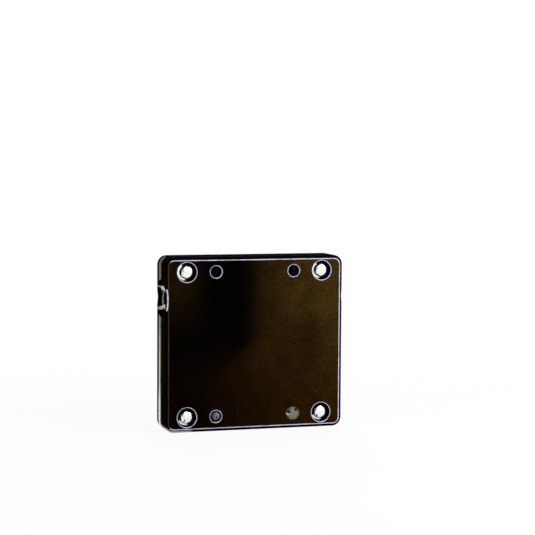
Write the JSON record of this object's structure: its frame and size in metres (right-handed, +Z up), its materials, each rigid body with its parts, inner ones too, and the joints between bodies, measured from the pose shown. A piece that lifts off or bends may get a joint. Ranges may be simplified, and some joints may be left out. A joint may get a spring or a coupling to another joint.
{
  "type": "outboard motor bracket",
  "caption": "Square two-board pad that clamps round a boat's rail and stanchion with through bolts, for a small outboard motor to hang on.",
  "frame": {"origin": "where the rail's axis and the stanchion's axis cross, in the parting plane between the boards", "axes": "+X along the rail, +Z up with the stanchion leaving along -Z, and the front board's face looks towards -Y"},
  "size_m": [0.19, 0.0396, 0.18],
  "materials": {
    "board": "dark brown-black solid plastic board, satin, with fine cutter lines on its edges",
    "fastener_steel": "bright stainless steel",
    "insert_nylon": "natural nylon, slightly translucent",
    "plug": "olive-grey plastic, matt"
  },
  "bodies": {
    "root": {"front_board": "board", "back_board": "board", "hex_bolt_1": "fastener_steel", "head_washer_1": "fastener_steel", "nut_washer_1": "fastener_steel", "lock_nut_1": "fastener_steel", "nut_insert_1": "insert_nylon", "hex_bolt_2": "fastener_steel", "head_washer_2": "fastener_steel", "nut_washer_2": "fastener_steel", "lock_nut_2": "fastener_steel", "nut_insert_2": "insert_nylon", "hex_bolt_3": "fastener_steel", "head_washer_3": "fastener_steel", "nut_washer_3": "fastener_steel", "lock_nut_3": "fastener_steel", "nut_insert_3": "insert_nylon", "hex_bolt_4": "fastener_steel", "head_washer_4": "fastener_steel", "nut_washer_4": "fastener_steel", "lock_nut_4": "fastener_steel", "nut_insert_4": "insert_nylon", "pan_screw": "fastener_steel", "screw_washer": "fastener_steel", "screw_nut": "fastener_steel", "hole_plug": "plug"}
  },
  "joints": []
}
